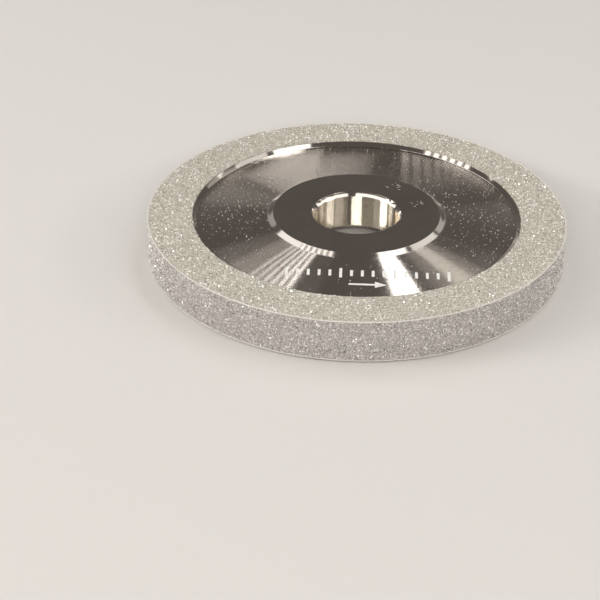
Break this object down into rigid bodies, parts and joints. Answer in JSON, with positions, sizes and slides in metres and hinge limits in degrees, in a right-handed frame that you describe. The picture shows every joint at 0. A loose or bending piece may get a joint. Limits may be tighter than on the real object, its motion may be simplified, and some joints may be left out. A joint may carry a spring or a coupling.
{
  "type": "diamond grinding wheel",
  "caption": "Flat steel grinding wheel with a plain centre bore, a thick hub, a recessed polished web and diamond grit plated on the rim's edge and both sides.",
  "frame": {"origin": "on the bore's axis, in the plane of the hub's back face", "axes": "+Z along the bore's axis, from the back face to the front face; X and Y are free, because the wheel is round"},
  "size_m": [0.1, 0.1, 0.01],
  "materials": {
    "polished_steel": "turned and polished steel, bright nickel plated",
    "face_grit": "coarse diamond grit held in plated nickel, warm grey, sparkling",
    "edge_grit": "coarse diamond grit held in plated nickel, neutral grey, sparkling"
  },
  "bodies": {
    "root": {"steel_core": "polished_steel", "front_diamond_ring": "face_grit", "back_diamond_ring": "face_grit", "edge_diamond_band": "edge_grit"}
  },
  "joints": []
}
